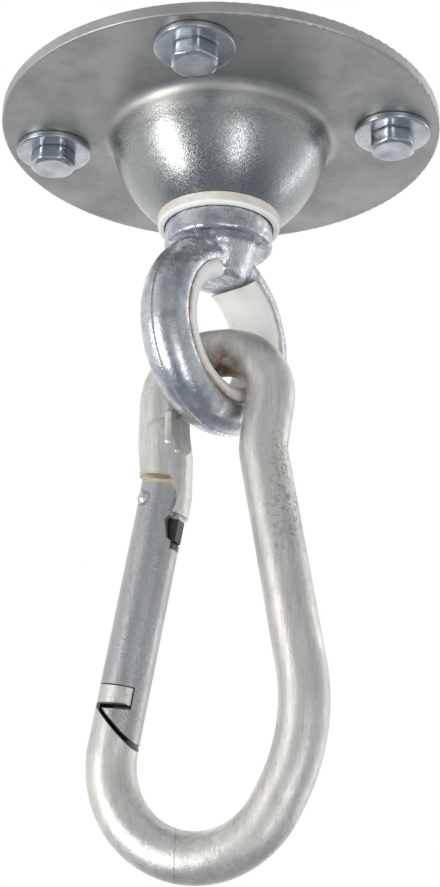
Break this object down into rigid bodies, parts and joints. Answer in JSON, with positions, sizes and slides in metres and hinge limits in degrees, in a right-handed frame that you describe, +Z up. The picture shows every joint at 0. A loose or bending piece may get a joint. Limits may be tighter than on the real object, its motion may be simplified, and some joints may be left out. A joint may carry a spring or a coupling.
{
  "type": "swing hook",
  "caption": "Round ceiling flange with a drawn dome, a swivelling lined eye below it and a long snap hook with a sprung gate.",
  "frame": {"origin": "centre of the flange's back face, which lies against the ceiling", "axes": "+Z up out of the back face into the ceiling, along the swivel's axis; the hook hangs towards -Z and the picture looks along +Y with +X to its right"},
  "size_m": [0.105, 0.105, 0.1829],
  "materials": {
    "plate_steel": "satin",
    "zinc_steel": "bright zinc",
    "eye_zinc": "mottled bright zinc",
    "hook_steel": "dull zinc",
    "spring_steel": "drawn wire",
    "nylon": "satin"
  },
  "bodies": {
    "mount": {"ceiling_plate": "plate_steel", "dome_bush": "nylon", "thrust_bush": "nylon", "bolt_washer_1": "zinc_steel", "bolt_washer_2": "zinc_steel", "bolt_washer_3": "zinc_steel", "bolt_washer_4": "zinc_steel", "mounting_bolt_1": "zinc_steel", "mounting_bolt_2": "zinc_steel", "mounting_bolt_3": "zinc_steel", "mounting_bolt_4": "zinc_steel"},
    "eye": {"swivel_eye": "eye_zinc", "eye_liner": "nylon", "lock_nut": "zinc_steel", "thrust_washer": "zinc_steel"},
    "hook": {"hook_body": "hook_steel", "gate_pin": "hook_steel"},
    "gate": {"gate": "hook_steel", "gate_spring": "spring_steel"},
    "plunger": {"spring_plunger": "spring_steel"}
  },
  "joints": [
    {"name": "eye_swivel", "type": "hinge", "parent": "mount", "child": "eye", "pos_m": [0, 0, -0.03], "axis": [0, 0, 1], "continuous": true},
    {"name": "hook_swing", "type": "hinge", "parent": "eye", "child": "hook", "pos_m": [0, 0, -0.0545], "axis": [0.7859, -0.6184, 0], "range_deg": [-80, 80]},
    {"name": "gate_open", "type": "hinge", "parent": "hook", "child": "gate", "pos_m": [-0.01408, 0.00512, -0.09369], "axis": [-0.342, -0.9397, 0], "range_deg": [0, 14], "stiffness_Nm_per_rad": 0.25, "springref_deg": -45.84},
    {"name": "plunger_slide", "type": "slide", "parent": "gate", "child": "plunger", "axis": [-0.1641, 0.0597, -0.9846], "range_m": [0, 0.0013], "deforming": ["gate_spring"]}
  ],
  "couplings": [
    {"joint": "plunger_slide", "follows": "gate_open", "m_per_rad": 0.0052}
  ]
}
